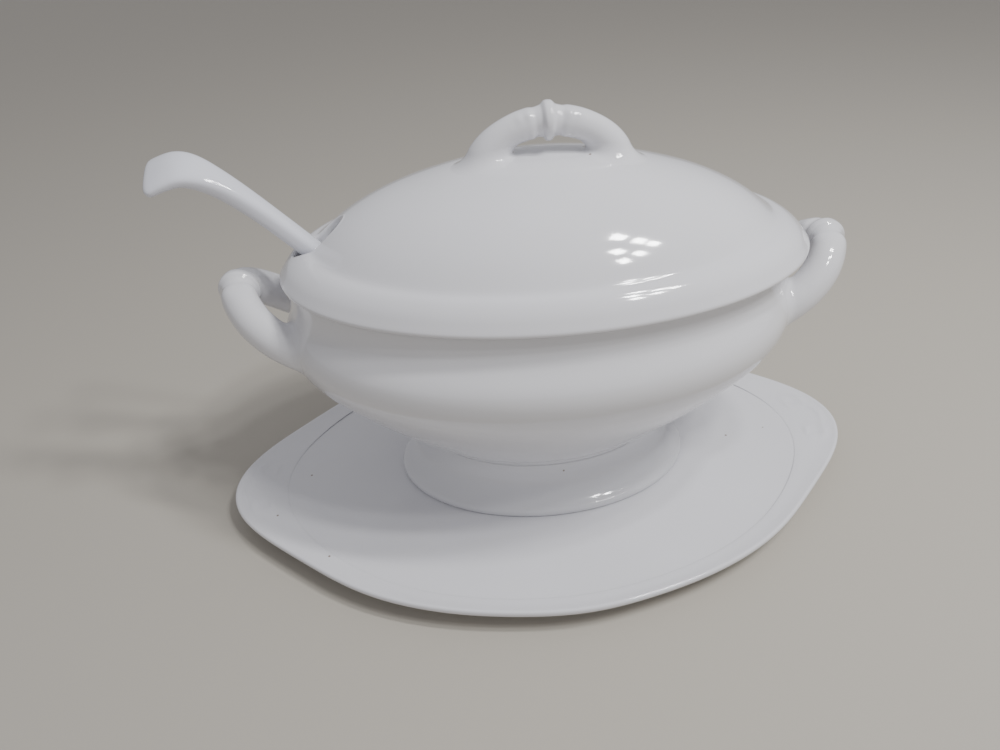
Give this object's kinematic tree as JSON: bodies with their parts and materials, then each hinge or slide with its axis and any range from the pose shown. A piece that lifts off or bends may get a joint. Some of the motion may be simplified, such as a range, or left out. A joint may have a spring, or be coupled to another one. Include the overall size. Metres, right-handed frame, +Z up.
{
  "type": "soup tureen",
  "caption": "Oval white glazed pedestal tureen with a domed lid, a ladle through a slot in the lid, and an underplate with shaped ends.",
  "frame": {"origin": "centre of the underplate's foot ring, on the surface it stands on", "axes": "+X along the long axis, away from the ladle's end; +Z up; +Y towards the far side"},
  "size_m": [0.3457, 0.2273, 0.2046],
  "materials": {
    "underplate_glaze": "glossy clear glaze over a white body, slightly blue where it is thick",
    "tureen_glaze": "glossy clear glaze over a white body, slightly blue where it is thick",
    "lid_glaze": "glossy clear glaze over a white body, slightly blue where it is thick",
    "ladle_glaze": "glossy clear glaze over a white body, slightly blue where it is thick"
  },
  "bodies": {
    "underplate": {"underplate": "underplate_glaze"},
    "tureen": {"bowl": "tureen_glaze", "pedestal_foot": "tureen_glaze", "left_handle": "tureen_glaze", "right_handle": "tureen_glaze"},
    "lid": {"lid_shell": "lid_glaze", "lid_loop_handle": "lid_glaze"},
    "ladle": {"ladle_bowl": "ladle_glaze", "ladle_handle": "ladle_glaze"}
  },
  "joints": [
    {"name": "tureen_lift", "type": "slide", "parent": "underplate", "child": "tureen", "axis": [0, 0, 1], "range_m": [0, 0.12]},
    {"name": "lid_lift", "type": "slide", "parent": "tureen", "child": "lid", "axis": [0, 0, 1], "range_m": [0, 0.14]},
    {"name": "ladle_draw", "type": "slide", "parent": "lid", "child": "ladle", "axis": [-0.6776, 0, 0.7355], "range_m": [0, 0.025]}
  ]
}
